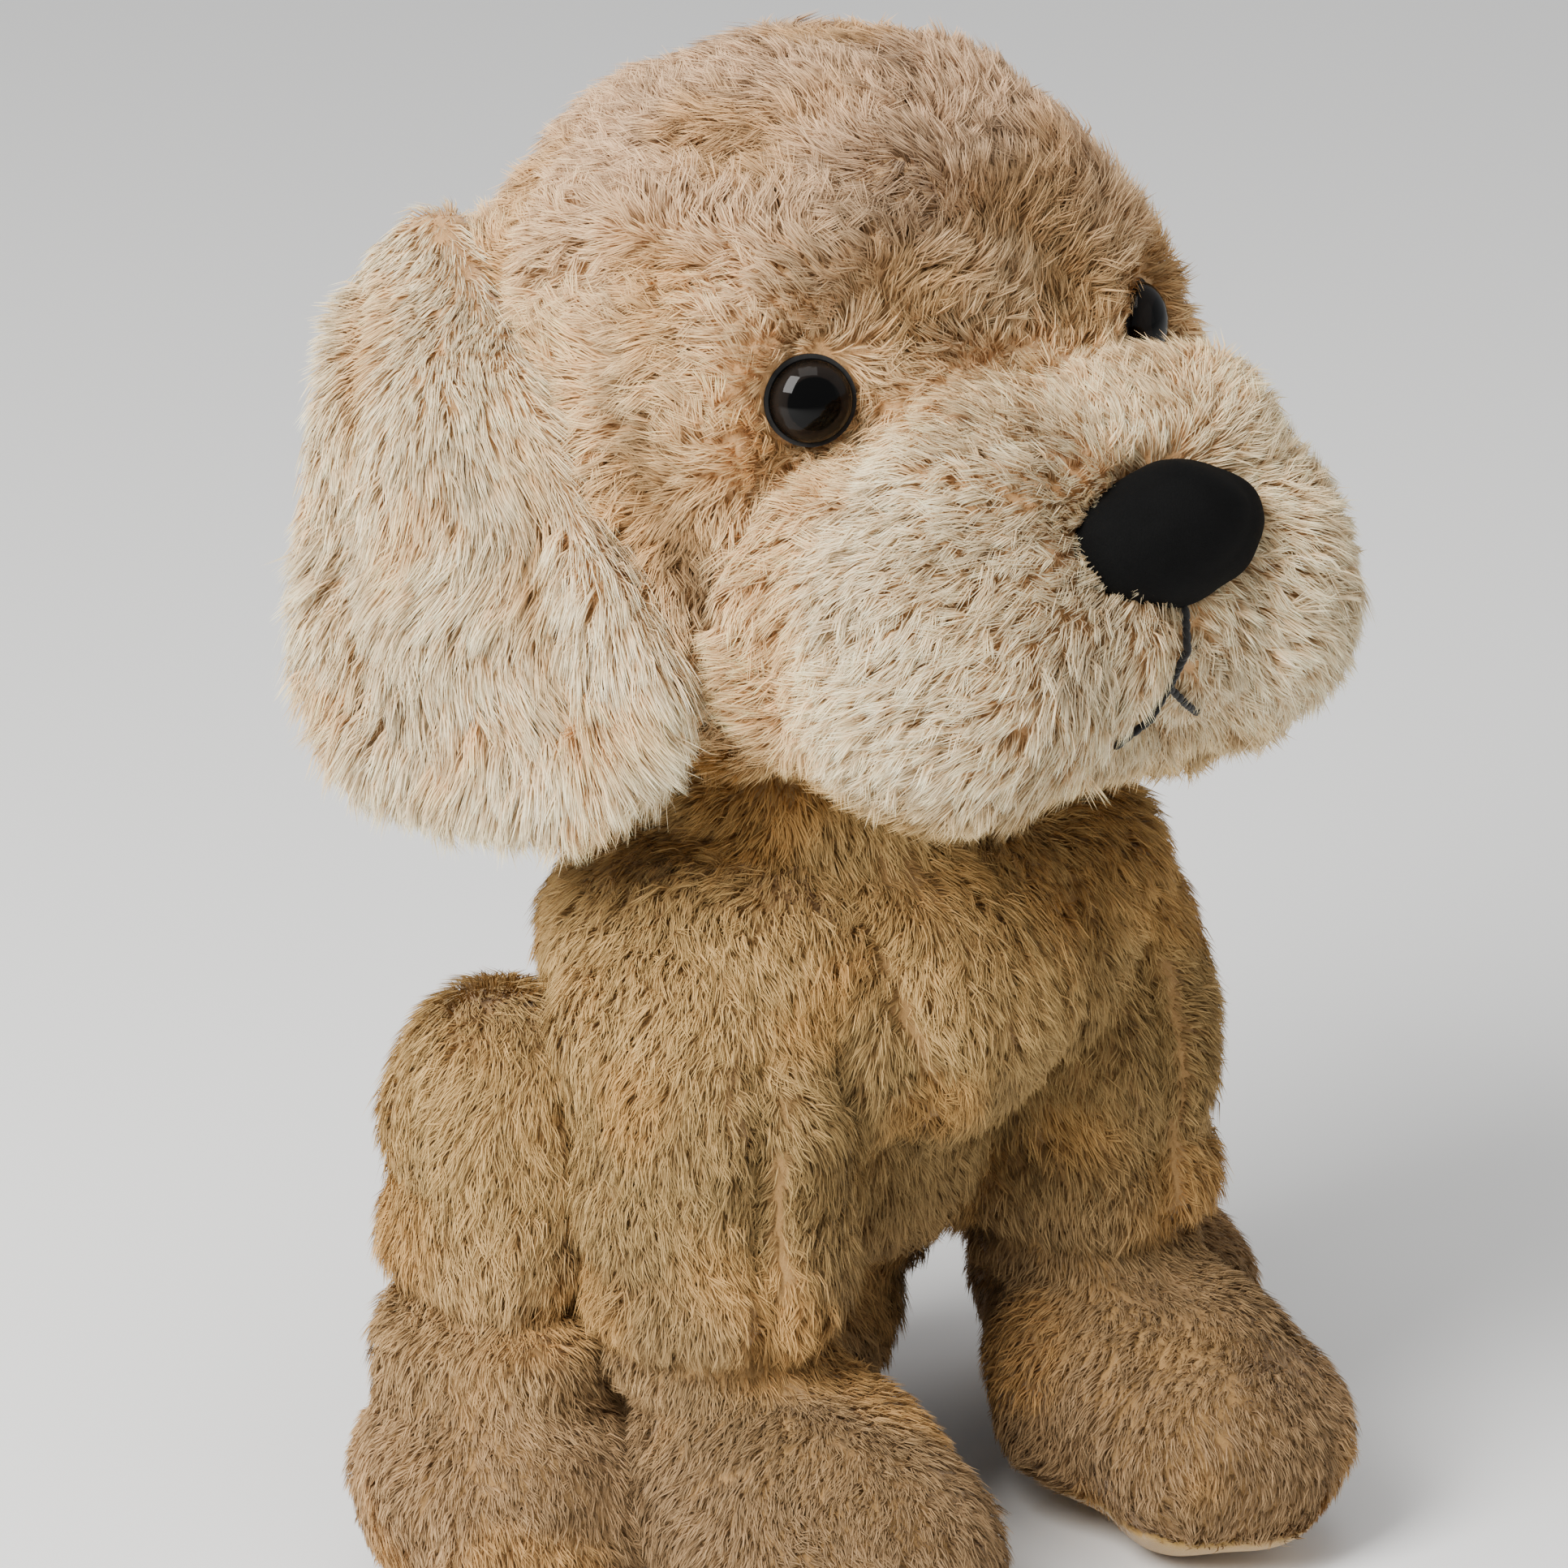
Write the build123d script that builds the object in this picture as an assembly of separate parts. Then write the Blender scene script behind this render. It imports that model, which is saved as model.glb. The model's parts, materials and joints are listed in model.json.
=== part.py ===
from build123d import *
from math import cos, radians, sin, sqrt
import os

# Sitting plush dog, in millimetres. It faces -Y, its left side is +X, and it sits on z = 0.
# Head, body and limbs are balls and ball-ended rolls. A panel is the outer form less the same
# form one fabric thickness smaller, cut along the seams by flat planes.

# ---- driving dimensions -------------------------------------------------------------------
FABRIC = 4.0             # long pile fabric pressed flat, backing included
GAP = 0.5                # air between bodies that move on each other
STUFF_GAP = 0.3          # the filling stops this far short of its cover

HEAD = (0, 0, 277)       # centre of the skull
HEAD_R = 89
FACE = (0, 60, 284)      # the face is flattened by a large ball centred behind the skull
FACE_R = 118
GUSSET_HALF = 22         # half width of the strip from the forehead over to the nape

CHEEK = (27, -76, 253)   # centre of the ball at each end of the muzzle
CHEEK_R = 48
MUZZLE_SEAM_Y = -60      # seam between face and muzzle
CHIN_SEAM_Z = 222        # seam between muzzle and chin

NOSE = (0, -113, 273)
NOSE_HALF, NOSE_R = 26, 15.5
NOSE_FABRIC = 1.2
THREAD_R = 1.3
MOUTH = [(0, -124, 250), (0, -113.5, 223), (16, -106, 214)]

EYE = (50, -48.5, 298.5)
EYE_R, EYE_HEIGHT = 10.5, 6.0
EYE_TURN, EYE_TILT = 30, 8
IRIS_R, IRIS_T = 9.0, 1.0
SHANK_R, SHANK_LEN = 3.0, 18
WASHER_R, WASHER_T, WASHER_DEPTH = 9.5, 1.6, 8

EAR = (98, 6, 260)       # middle of the ear's flap
EAR_THICK, EAR_WIDTH, EAR_LENGTH = 22, 116, 160
EAR_CORNER = 57
EAR_FABRIC = 3.5
EAR_YAW = 12             # the rear edge stands further out than the front edge
EAR_SLANT, EAR_SLANT_AT = 50, (-31, 16)    # the front edge above the cheek slants, through this point
EAR_ROOT = (77.2, 30, 329)
EAR_ROOT_R, EAR_ROOT_HALF = 12, 20

NECK = (0, 5, 200)       # the head turns and nods about this point
NECK_BALL_R, NECK_STUB_R, NECK_STUB_Z = 34, 27, 158

RUMP, RUMP_R = (0, 38, 42), 50
CHEST, CHEST_R = (0, 2, 112), 72
CHEST_HALF = 30          # flat sides of the chest, where the forelegs lie against it
CHEST_BACK_Y = 25
HIP_HALF = 66            # flat sides of the hips, where the hind legs lie against them
PELLETS, PELLETS_R = (0, 42, 38), 27

SHOULDER, SHOULDER_R = (56, -18, 138), 41
FORELEG, FORELEG_R = (62, -27), 34
FORE_FOOT, FORE_FOOT_R, FORE_FOOT_REACH = (61, -62, 30), 36, 14

HIP, HIP_R = (88, 22, 108), 34
HINDLEG, HINDLEG_R = (96, 20), 27
HIND_FOOT, HIND_FOOT_R, HIND_FOOT_REACH = (103, 12, 29), 34, 9
ANKLE_Z = 68
SOLE_T = 2.0

TAIL_ROOT, TAIL_R = (0, 88, 40), 14
TAIL_TIP, TAIL_TIP_R = (0, 118.5, 62), 10
TAIL_FABRIC = 3.0
TAIL_ROOM = 40           # half width of the dip in the rump that the tail wags in
TAIL_DIP_Y = 78          # the dip in the back that the tail lies in starts here
SEAT_Z = 14              # height of the seam round the patch that it sits on
# -------------------------------------------------------------------------------------------

BIG = 600
SIDES = ((1, "left"), (-1, "right"))
NODES = {}


def ball(centre, radius):
    return Pos(*centre) * Sphere(radius)


def roll(start, end, start_r, end_r):
    """Ball-ended roll from start to end, straight or tapered, turned about its own axis."""
    axis = Vector(*end) - Vector(*start)
    length = axis.length
    slope = (start_r - end_r) / length
    flat = sqrt(1 - slope * slope)
    turn = sqrt((1 + slope) / 2), sqrt((1 - slope) / 2)
    low = (start_r * flat, start_r * slope)
    high = (end_r * flat, length + end_r * slope)
    outline = [
        ThreePointArc((0, -start_r), (start_r * turn[0], -start_r * turn[1]), low),
        Line(low, high),
        ThreePointArc(high, (end_r * turn[1], length + end_r * turn[0]), (0, length + end_r)),
        Line((0, length + end_r), (0, -start_r)),
    ]
    solid = revolve(Plane.XZ * make_face(outline), Axis.Z, 360)
    return Plane(origin=start, z_dir=axis) * solid


def box(low, high):
    size = [b - a for a, b in zip(low, high)]
    middle = [(a + b) / 2 for a, b in zip(low, high)]
    return Pos(*middle) * Box(*size)


def mirrored(solid, side):
    """The parts of the dog's left side are drawn; its right side is their mirror image."""
    return solid if side > 0 else mirror(solid, Plane.YZ)


def keep(name, solid):
    """Store a sub-part as its closed solids, without crumbs of the cuts."""
    solids = [s for s in solid.solids() if s.volume > 5.0]
    NODES[name] = solids[0] if len(solids) == 1 else Compound(children=solids)
    NODES[name].label = name


def head_form(inset=0.0):
    """Skull with a flattened face, and the muzzle as a roll across it."""
    skull = ball(HEAD, HEAD_R - inset) & ball(FACE, FACE_R - inset)
    x, y, z = CHEEK
    return skull + roll((-x, y, z), (x, y, z), CHEEK_R - inset, CHEEK_R - inset)


def nose_form(inset=0.0):
    x, y, z = NOSE
    reach = NOSE_HALF - NOSE_R
    return roll((x - reach, y, z), (x + reach, y, z), NOSE_R - inset, NOSE_R - inset)


def eye_parts(side):
    """Safety eye: clear dome, iris disc, post with its flange, and the washer that locks it."""
    place = Pos(side * EYE[0], EYE[1], EYE[2]) * Rot(0, 0, side * EYE_TURN) * Rot(90 - EYE_TILT, 0, 0)
    dome_r = (EYE_R**2 + EYE_HEIGHT**2) / (2 * EYE_HEIGHT)
    dome = Pos(0, 0, EYE_HEIGHT - dome_r) * Sphere(dome_r) & box((-20, -20, 0), (20, 20, 20))
    iris = Pos(0, 0, IRIS_T / 2) * Cylinder(IRIS_R, IRIS_T)
    flange = Pos(0, 0, -0.75) * Cylinder(EYE_R, 1.5)
    post = Pos(0, 0, -SHANK_LEN / 2) * Cylinder(SHANK_R, SHANK_LEN)
    washer = Pos(0, 0, -WASHER_DEPTH) * (Cylinder(WASHER_R, WASHER_T) - Cylinder(SHANK_R, WASHER_T))
    parts = {"dome": dome - iris, "iris": iris, "shank": flange + post, "washer": washer}
    return {name: place * solid for name, solid in parts.items()}


def thread(points, radius):
    """A stitched thread: straight runs with round joints."""
    solid = ball(points[0], radius)
    for a, b in zip(points, points[1:]):
        run = Vector(*b) - Vector(*a)
        middle = (Vector(*a) + Vector(*b)) * 0.5
        solid = solid + Plane(origin=middle, z_dir=run) * Cylinder(radius, run.length) + ball(b, radius)
    return solid


def make_head():
    outer = head_form()
    mouth = thread(MOUTH, THREAD_R) + mirror(thread(MOUTH[1:], THREAD_R), Plane.YZ)
    eyes = {side: eye_parts(side) for side, _ in SIDES}
    holes = [ball(NECK, NECK_BALL_R + GAP), mouth]
    holes += [ear_root(side, EAR_ROOT_R + GAP) for side, _ in SIDES]
    holes += [solid for parts in eyes.values() for solid in parts.values()]

    shell = outer - head_form(FABRIC) - holes
    chin = box((-BIG, -BIG, 0), (BIG, -20, CHIN_SEAM_Z))
    front = box((-BIG, -BIG, CHIN_SEAM_Z), (BIG, MUZZLE_SEAM_Y, HEAD[2] + 26))
    strip = box((-GUSSET_HALF, -BIG, 0), (GUSSET_HALF, BIG, BIG))
    left = box((0, -BIG, 0), (BIG, BIG, BIG))
    right = box((-BIG, -BIG, 0), (0, BIG, BIG))
    skull_shell = shell - front - chin
    keep("chin_panel", shell & chin)
    keep("muzzle_panel_left", shell & front & left)
    keep("muzzle_panel_right", shell & front & right)
    keep("head_gusset", skull_shell & strip)
    keep("head_panel_left", (skull_shell & left) - strip)
    keep("head_panel_right", (skull_shell & right) - strip)
    keep("head_stuffing", head_form(FABRIC + STUFF_GAP) - holes)
    keep("mouth_stitch", mouth)
    keep("nose_cover", nose_form() - nose_form(NOSE_FABRIC) - outer - mouth)
    keep("nose_stuffing", nose_form(NOSE_FABRIC) - outer - mouth)
    for side, word in SIDES:
        for part, solid in eyes[side].items():
            keep(f"eye_{word}_{part}", solid)


def ear_root(side, radius):
    """Rolled seam that the ear hangs from, round about the axis that it swings on."""
    x, y, z = EAR_ROOT
    dx, dy = EAR_ROOT_HALF * sin(radians(EAR_YAW)), EAR_ROOT_HALF * cos(radians(EAR_YAW))
    return mirrored(roll((x - dx, y - dy, z), (x + dx, y + dy, z), radius, radius), side)


def ear_form(side, inset=0.0):
    """Flap with round corners, shaped to the side of the head, hanging from its rolled root."""
    outline = RectangleRounded(EAR_WIDTH - 2 * inset, EAR_LENGTH - 2 * inset, EAR_CORNER - inset)
    flap = extrude(Plane.YZ * outline, EAR_THICK / 2 - inset, both=True)
    flap -= Pos(0, *EAR_SLANT_AT) * Rot(EAR_SLANT, 0, 0) * box((-BIG, -BIG, -inset), (BIG, BIG, BIG))
    flap = mirrored(Pos(*EAR) * Rot(0, 0, -EAR_YAW) * flap, side)
    return (flap - ball(HEAD, HEAD_R + GAP + inset)) + ear_root(side, EAR_ROOT_R - inset)


def make_ear(side, word):
    shell = ear_form(side) - ear_form(side, EAR_FABRIC)
    outside = Pos(*EAR) * Rot(0, 0, -EAR_YAW) * box((0, -BIG, -BIG), (BIG, BIG, BIG))
    keep(f"ear_{word}_outer_panel", shell & mirrored(outside, side))
    keep(f"ear_{word}_lining", shell - mirrored(outside, side))
    keep(f"ear_{word}_wadding", ear_form(side, EAR_FABRIC + STUFF_GAP))


def neck_form(inset=0.0):
    height = NECK[2] - NECK_STUB_Z - inset
    stub = Pos(NECK[0], NECK[1], NECK[2] - height / 2) * Cylinder(NECK_STUB_R - inset, height)
    return ball(NECK, NECK_BALL_R - inset) + stub


def make_neck():
    keep("neck_cover", neck_form() - neck_form(FABRIC))
    keep("neck_stuffing", neck_form(FABRIC + STUFF_GAP))


def torso_form(inset=0.0):
    """Pear-shaped body, flat below, and flat at the sides where the legs lie against it."""
    solid = roll(RUMP, CHEST, RUMP_R - inset, CHEST_R - inset)
    solid &= box((inset - HIP_HALF, -BIG, inset), (HIP_HALF - inset, BIG, BIG))
    edge = CHEST_HALF - inset
    back = CHEST_BACK_Y + inset
    return solid - [box((edge, -BIG, -1), (BIG, back, BIG)), box((-BIG, -BIG, -1), (-edge, back, BIG))]


def make_torso():
    well_z = NECK_STUB_Z - GAP
    well = Pos(NECK[0], NECK[1], well_z + BIG / 2) * Cylinder(NECK_STUB_R + GAP, BIG)
    holes = [well, ball(NECK, NECK_BALL_R + GAP), ball(TAIL_ROOT, TAIL_R + GAP)]
    holes.append(box((-TAIL_ROOM, TAIL_DIP_Y, TAIL_ROOT[2] - 16), (TAIL_ROOM, BIG, BIG)))
    shell = torso_form() - torso_form(FABRIC) - holes
    left = box((0, -BIG, SEAT_Z), (BIG, BIG, BIG))
    right = box((-BIG, -BIG, SEAT_Z), (0, BIG, BIG))
    edge = CHEST_HALF - FABRIC - 2
    chest = box((-edge, -BIG, SEAT_Z), (edge, CHEST_BACK_Y, BIG))
    keep("seat_panel", shell & box((-BIG, -BIG, -1), (BIG, BIG, SEAT_Z)))
    keep("chest_panel", shell & chest)
    keep("body_panel_left", (shell & left) - chest)
    keep("body_panel_right", (shell & right) - chest)
    keep("pellet_bag", ball(PELLETS, PELLETS_R) - ball(PELLETS, PELLETS_R - 1))
    keep("pellets", ball(PELLETS, PELLETS_R - 1.2))
    keep("body_stuffing", torso_form(FABRIC + STUFF_GAP) - holes - ball(PELLETS, PELLETS_R + 0.2))


def foot_form(foot, radius, reach, inset):
    x, y, z = foot
    return roll((x, y - reach, z), (x, y + reach, z), radius - inset, radius - inset)


def foreleg_form(inset=0.0):
    """Left foreleg: ball of the shoulder, upright leg, and foot pointing forward."""
    x, y = FORELEG
    height = SHOULDER[2] - FORE_FOOT[2]
    column = Pos(x, y, FORE_FOOT[2] + height / 2) * Cylinder(FORELEG_R - inset, height)
    foot = foot_form(FORE_FOOT, FORE_FOOT_R, FORE_FOOT_REACH, inset)
    cut = box((CHEST_HALF + GAP + inset, -BIG, inset), (BIG, BIG, BIG))
    return (ball(SHOULDER, SHOULDER_R - inset) + column + foot) & cut


def hindleg_form(inset=0.0):
    """Left hind leg: ball of the hip, upright leg and short foot, pressed behind the foreleg."""
    x, y = HINDLEG
    height = HIP[2] - HIND_FOOT[2]
    column = Pos(x, y, HIND_FOOT[2] + height / 2) * Cylinder(HINDLEG_R - inset, height)
    foot = foot_form(HIND_FOOT, HIND_FOOT_R, HIND_FOOT_REACH, inset)
    cut = box((HIP_HALF + GAP + inset, -BIG, inset), (BIG, BIG, BIG))
    return ((ball(HIP, HIP_R - inset) + column + foot) & cut) - foreleg_form(-GAP - inset)


def make_leg(kind, form, middle_x, side, word):
    """A leg of four panels round its filling: two up the leg, one over the foot, and the sole."""
    outer = form()
    shell = outer - form(FABRIC)
    below = box((-BIG, -BIG, SOLE_T), (BIG, BIG, ANKLE_Z))
    above = box((-BIG, -BIG, ANKLE_Z), (BIG, BIG, BIG))
    outside = box((middle_x, -BIG, ANKLE_Z), (BIG, BIG, BIG))
    parts = {
        "outer_panel": shell & outside,
        "inner_panel": (shell & above) - outside,
        "foot_panel": shell & below,
        "sole": outer & box((-BIG, -BIG, -1), (BIG, BIG, SOLE_T)),
        "stuffing": form(FABRIC + STUFF_GAP),
    }
    for part, solid in parts.items():
        keep(f"{kind}_{word}_{part}", mirrored(solid, side))


def tail_form(inset=0.0):
    return roll(TAIL_ROOT, TAIL_TIP, TAIL_R - inset, TAIL_TIP_R - inset)


def make_tail():
    keep("tail_cover", tail_form() - tail_form(TAIL_FABRIC))
    keep("tail_stuffing", tail_form(TAIL_FABRIC + STUFF_GAP))


make_head()
make_neck()
make_torso()
make_tail()
for side, word in SIDES:
    make_ear(side, word)
    make_leg("foreleg", foreleg_form, FORELEG[0], side, word)
    make_leg("hindleg", hindleg_form, HINDLEG[0], side, word)

os.makedirs("parts", exist_ok=True)
for name, solid in NODES.items():
    export_step(solid, f"parts/{name}.step")
print(len(NODES), "sub-parts")
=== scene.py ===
"""Sitting plush dog: stuffed skins shaped from lumps, and fur grown on them as real strands.

Everything is in metres in the frame of the CAD model: +Z up, the dog faces -Y, its left is +X.
"""

import json
from math import atan2, cos, pi, radians, sin, sqrt

import bmesh
import bpy
import numpy as np
from mathutils import Matrix, Vector
from mathutils.kdtree import KDTree


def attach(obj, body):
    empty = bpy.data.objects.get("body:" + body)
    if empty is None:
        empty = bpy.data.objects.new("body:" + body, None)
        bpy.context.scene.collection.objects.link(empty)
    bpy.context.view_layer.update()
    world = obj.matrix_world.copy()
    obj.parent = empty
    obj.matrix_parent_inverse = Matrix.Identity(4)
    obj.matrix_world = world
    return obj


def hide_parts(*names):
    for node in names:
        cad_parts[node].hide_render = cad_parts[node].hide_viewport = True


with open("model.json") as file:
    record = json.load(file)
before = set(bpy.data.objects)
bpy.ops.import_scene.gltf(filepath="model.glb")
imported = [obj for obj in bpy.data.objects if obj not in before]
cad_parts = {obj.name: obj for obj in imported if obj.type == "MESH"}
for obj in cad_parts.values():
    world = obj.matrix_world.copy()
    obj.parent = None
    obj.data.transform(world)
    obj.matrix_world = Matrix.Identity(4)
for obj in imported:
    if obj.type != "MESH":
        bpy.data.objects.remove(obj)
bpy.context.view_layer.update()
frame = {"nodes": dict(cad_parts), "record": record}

MM = 0.001
SIDES = ((1, "left"), (-1, "right"))

# ---- the dog's main sizes, in millimetres ------------------------------------------------
HEAD = np.array((0.0, 0.0, 277.0))      # centre of the skull
PILE = 8.0                              # the skin lies this far below the fur's outline
EYE = np.array((50.0, -48.5, 298.5))
EYE_TURN, EYE_TILT = radians(30), radians(8)
NOSE = np.array((0.0, -113.0, 273.0))
SOLE_TOP = 13.0                         # velour of the soles reaches this high round the edge


# ---- camera, stage and light ----------------------------------------------------------------

def direction(azimuth, elevation):
    """Unit vector from the dog towards a viewer at these angles, in degrees."""
    a, e = radians(azimuth), radians(elevation)
    return Vector((sin(a) * cos(e), -cos(a) * cos(e), sin(e)))


def aim(obj, target):
    obj.rotation_euler = (Vector(target) - obj.location).to_track_quat("-Z", "Y").to_euler()


def eye_axis(s):
    """The way an eye looks."""
    return np.array((s * sin(EYE_TURN) * cos(EYE_TILT), -cos(EYE_TURN) * cos(EYE_TILT), sin(EYE_TILT)))


def make_camera():
    camera = bpy.data.cameras.new("camera")
    camera.sensor_width = 36
    camera.lens = 184.5
    obj = bpy.data.objects.new("camera", camera)
    bpy.context.scene.collection.objects.link(obj)
    target = Vector((-0.010, 0.0084, 0.184))
    obj.location = target + direction(-40, 19) * 1.9
    aim(obj, target)
    bpy.context.scene.camera = obj


def make_light(name, azimuth, elevation, distance, size, power, colour):
    light = bpy.data.lights.new(name, "AREA")
    light.shape = "RECTANGLE"
    light.size, light.size_y = size
    light.energy = power
    light.color = colour
    obj = bpy.data.objects.new(name, light)
    bpy.context.scene.collection.objects.link(obj)
    obj.location = Vector((0, 0, 0.2)) + direction(azimuth, elevation) * distance
    aim(obj, (0, 0, 0.2))


def make_stage():
    mesh = bpy.data.meshes.new("floor")
    half = 6.0
    mesh.from_pydata([(-half, -half, 0), (half, -half, 0), (half, half, 0), (-half, half, 0)], [], [(0, 1, 2, 3)])
    floor = bpy.data.objects.new("floor", mesh)
    bpy.context.scene.collection.objects.link(floor)
    mat, tree, shader = new_material("floor_paper", roughness=0.9)
    shader.inputs["Base Color"].default_value = (0.93, 0.93, 0.92, 1)
    mesh.materials.append(mat)
    world = bpy.data.worlds.new("studio")
    world.use_nodes = True
    background = world.node_tree.nodes["Background"]
    background.inputs["Color"].default_value = (0.97, 0.98, 1.0, 1)
    background.inputs["Strength"].default_value = 0.5
    bpy.context.scene.world = world
    make_light("key_window", -80, 40, 1.9, (0.9, 1.2), 74, (1.0, 0.985, 0.96))
    make_light("top_soft", -30, 75, 2.0, (1.2, 1.2), 14, (1.0, 0.98, 0.95))
    make_light("fill", 40, 20, 2.6, (1.6, 1.6), 1.5, (1.0, 0.96, 0.9))


# ---- materials --------------------------------------------------------------------------------

def new_material(name, roughness=0.8, **values):
    """A Principled material; values are names of its sockets, with _ for a space."""
    mat = bpy.data.materials.new(name)
    mat.use_nodes = True
    tree = mat.node_tree
    shader = tree.nodes["Principled BSDF"]
    shader.inputs["Roughness"].default_value = roughness
    for key, value in values.items():
        shader.inputs[key.replace("_", " ")].default_value = value
    return mat, tree, shader


def node(tree, kind, **values):
    made = tree.nodes.new(kind)
    for key, value in values.items():
        if key in made.inputs:
            made.inputs[key].default_value = value
        else:
            setattr(made, key, value)
    return made


def ramp(tree, factor, stops):
    made = tree.nodes.new("ShaderNodeValToRGB")
    elements = made.color_ramp.elements
    while len(elements) < len(stops):
        elements.new(0.5)
    for element, (place, colour) in zip(elements, stops):
        element.position = place
        element.color = (*colour, 1)
    tree.links.new(factor, made.inputs["Fac"])
    return made.outputs["Color"]


def coordinates(tree):
    return tree.nodes.new("ShaderNodeTexCoord").outputs["Object"]


def noise(tree, scale, detail=4.0, roughness=0.55):
    made = node(tree, "ShaderNodeTexNoise", Scale=scale, Detail=detail, Roughness=roughness)
    tree.links.new(coordinates(tree), made.inputs["Vector"])
    return made.outputs["Fac"]


def bump(tree, shader, height, strength, distance):
    made = node(tree, "ShaderNodeBump", Strength=strength, Distance=distance)
    tree.links.new(height, made.inputs["Height"])
    tree.links.new(made.outputs["Normal"], shader.inputs["Normal"])


def fur_material():
    """One material for all strands: each carries its own colour, and fine bands run across its length."""
    mat, tree, shader = new_material("fur_fibre", roughness=0.7, Sheen_Weight=0.04, Sheen_Roughness=0.5)
    shader.inputs["Specular IOR Level"].default_value = 0.2
    paint = node(tree, "ShaderNodeAttribute", attribute_name="paint")
    place = node(tree, "ShaderNodeUVMap", uv_map="OFBake")
    bands = node(tree, "ShaderNodeTexNoise", Scale=1.0, Detail=2.0)
    stretch = node(tree, "ShaderNodeVectorMath", operation="MULTIPLY")
    stretch.inputs[1].default_value = (260.0, 5.0, 1.0)
    tree.links.new(place.outputs["UV"], stretch.inputs[0])
    tree.links.new(stretch.outputs[0], bands.inputs["Vector"])
    mixed = node(tree, "ShaderNodeMix", data_type="RGBA", blend_type="MULTIPLY")
    mixed.inputs[0].default_value = 0.5
    tree.links.new(paint.outputs["Color"], mixed.inputs[6])
    tree.links.new(ramp(tree, bands.outputs["Fac"], [(0.35, (0.8, 0.76, 0.7)), (0.6, (1, 1, 1))]), mixed.inputs[7])
    tree.links.new(mixed.outputs[2], shader.inputs["Base Color"])
    return mat


def cloth_material(name, dark, light, grain=1400.0, depth=0.0006, sheen=0.3, gloss=0.3):
    """Woven or velour cloth: fine grain over slow patches of two near colours."""
    mat, tree, shader = new_material(name, roughness=0.9, Sheen_Weight=sheen, Sheen_Roughness=0.5)
    shader.inputs["Specular IOR Level"].default_value = gloss
    patches = noise(tree, 60.0, 3.0)
    fine = noise(tree, grain, 3.0, 0.7)
    both = node(tree, "ShaderNodeMath", operation="MULTIPLY_ADD")
    both.inputs[1].default_value = 0.5
    tree.links.new(fine, both.inputs[0])
    half = node(tree, "ShaderNodeMath", operation="MULTIPLY")
    half.inputs[1].default_value = 0.5
    tree.links.new(patches, half.inputs[0])
    tree.links.new(half.outputs[0], both.inputs[2])
    tree.links.new(ramp(tree, both.outputs[0], [(0.35, dark), (0.65, light)]), shader.inputs["Base Color"])
    bump(tree, shader, fine, 0.6, depth)
    return mat


def eye_material():
    """Black pupil on a very dark brown ring under a clear coat, round about the eye's own z axis."""
    mat, tree, shader = new_material("eye_glass", roughness=0.3, Coat_Weight=0.65, Coat_Roughness=0.02, Coat_IOR=1.3)
    shader.inputs["Specular IOR Level"].default_value = 0.0
    place = coordinates(tree)
    flat = node(tree, "ShaderNodeVectorMath", operation="MULTIPLY")
    flat.inputs[1].default_value = (1, 1, 0)
    tree.links.new(place, flat.inputs[0])
    length = node(tree, "ShaderNodeVectorMath", operation="LENGTH")
    tree.links.new(flat.outputs[0], length.inputs[0])
    share = node(tree, "ShaderNodeMath", operation="DIVIDE")
    share.inputs[1].default_value = 0.0098
    tree.links.new(length.outputs["Value"], share.inputs[0])
    stops = [(0.0, (0.0005, 0.0005, 0.0005)), (0.60, (0.0008, 0.0008, 0.0008)), (0.64, (0.008, 0.006, 0.005)),
             (0.86, (0.013, 0.010, 0.008)), (0.95, (0.003, 0.0025, 0.002)), (1.0, (0.001, 0.001, 0.001))]
    tree.links.new(ramp(tree, share.outputs[0], stops), shader.inputs["Base Color"])
    return mat


# ---- shaping skins ----------------------------------------------------------------------------

def lump(centre, radii, turn=(0, 0, 0)):
    """An ellipsoid as a matrix, in millimetres; turn is in degrees about x, y and z."""
    spin = Matrix.Rotation(radians(turn[2]), 4, "Z") @ Matrix.Rotation(radians(turn[1]), 4, "Y")
    spin = spin @ Matrix.Rotation(radians(turn[0]), 4, "X")
    return Matrix.Translation(Vector(centre) * MM) @ spin @ Matrix.Diagonal((*[r * MM for r in radii], 1))


def merged(name, lumps, voxel, smooth):
    """One closed skin round all lumps: joined, remeshed and smoothed."""
    shape = bmesh.new()
    for matrix in lumps:
        bmesh.ops.create_icosphere(shape, subdivisions=4, radius=1.0, matrix=matrix)
    mesh = bpy.data.meshes.new(name)
    shape.to_mesh(mesh)
    shape.free()
    obj = bpy.data.objects.new(name, mesh)
    bpy.context.scene.collection.objects.link(obj)
    remesh = obj.modifiers.new("remesh", "REMESH")
    remesh.mode = "VOXEL"
    remesh.voxel_size = voxel * MM
    if smooth:
        relax = obj.modifiers.new("relax", "SMOOTH")
        relax.factor = 0.5
        relax.iterations = smooth
    apply_modifiers(obj)
    return obj


def apply_modifiers(obj):
    graph = bpy.context.evaluated_depsgraph_get()
    mesh = bpy.data.meshes.new_from_object(obj.evaluated_get(graph))
    old = obj.data
    obj.modifiers.clear()
    obj.data = mesh
    mesh.name = obj.name
    bpy.data.meshes.remove(old)


def points_of(mesh):
    co = np.empty(len(mesh.vertices) * 3)
    mesh.vertices.foreach_get("co", co)
    return co.reshape(-1, 3) / MM


def normals_of(mesh):
    no = np.empty(len(mesh.vertices) * 3, np.float32)
    mesh.vertex_normals.foreach_get("vector", no)
    return no.reshape(-1, 3).astype(float)


def move_points(mesh, points):
    mesh.vertices.foreach_set("co", (points * MM).ravel())
    mesh.update()


def bell(distance, width):
    """1 at zero distance, falling smoothly to 0 at about twice the width."""
    return np.exp(-(distance / width) ** 2)


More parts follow.
